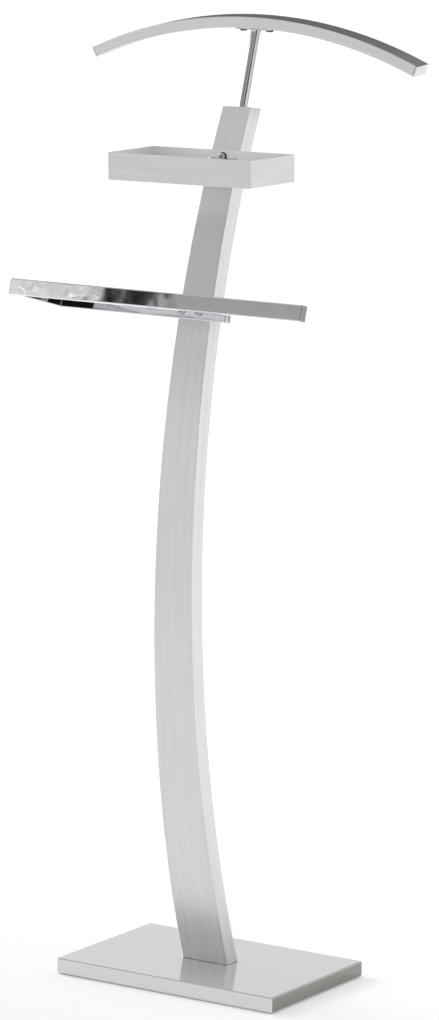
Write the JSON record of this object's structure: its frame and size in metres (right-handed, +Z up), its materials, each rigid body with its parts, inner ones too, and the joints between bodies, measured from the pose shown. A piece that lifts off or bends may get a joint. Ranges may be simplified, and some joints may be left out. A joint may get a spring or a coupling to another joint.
{
  "type": "valet stand",
  "caption": "Free-standing valet stand: weighted base, curved tapered column, open tray, U-shaped trouser rail and an arched jacket hanger that turns on its post.",
  "frame": {"origin": "on the floor under the middle of the base, on the underside of the foam pad", "axes": "+X along the base's long side to the right, +Y to the back, +Z up"},
  "size_m": [0.428, 0.2535, 1.0941],
  "materials": {
    "satin_silver": "satin silver paint over fine brushing",
    "polished_chrome": "polished",
    "gloss_silver": "gloss lacquered silver",
    "black_steel": "black oxide",
    "zinc_plate": "bright zinc plate",
    "cast_weight": "as cast, painted",
    "black_board": "black faced board",
    "black_foam": "closed-cell foam",
    "nylon": "natural nylon"
  },
  "bodies": {
    "stand": {"base_cover": "gloss_silver", "base_weight": "cast_weight", "base_bottom_board": "black_board", "base_floor_pad": "black_foam", "board_screw_1": "zinc_plate", "board_screw_2": "zinc_plate", "board_screw_3": "zinc_plate", "board_screw_4": "zinc_plate", "foot_bolt_1": "zinc_plate", "foot_bolt_2": "zinc_plate", "foot_washer_1": "zinc_plate", "foot_washer_2": "zinc_plate", "column_tube": "satin_silver", "column_foot_block": "zinc_plate", "column_top_cap": "satin_silver", "post_bush": "nylon", "tray_body": "satin_silver", "tray_screw": "zinc_plate", "tray_washer": "black_steel", "trouser_rail": "polished_chrome", "rail_front_cap": "polished_chrome", "rail_rear_cap": "polished_chrome", "rail_screw_1": "zinc_plate", "rail_screw_2": "zinc_plate", "rail_rivet_nut_1": "zinc_plate", "rail_rivet_nut_2": "zinc_plate"},
    "hanger": {"hanger_post": "polished_chrome", "post_spring_washer": "zinc_plate", "post_retaining_clip": "zinc_plate", "hanger_saddle": "zinc_plate", "hanger_screw_1": "black_steel", "hanger_screw_2": "black_steel", "hanger_bar": "satin_silver", "hanger_end_cap_left": "satin_silver", "hanger_end_cap_right": "satin_silver"}
  },
  "joints": [
    {"name": "hanger_turn", "type": "hinge", "parent": "stand", "child": "hanger", "pos_m": [0, 0.0774, 0.9918], "axis": [0, 0.3057, 0.9521], "continuous": true}
  ]
}
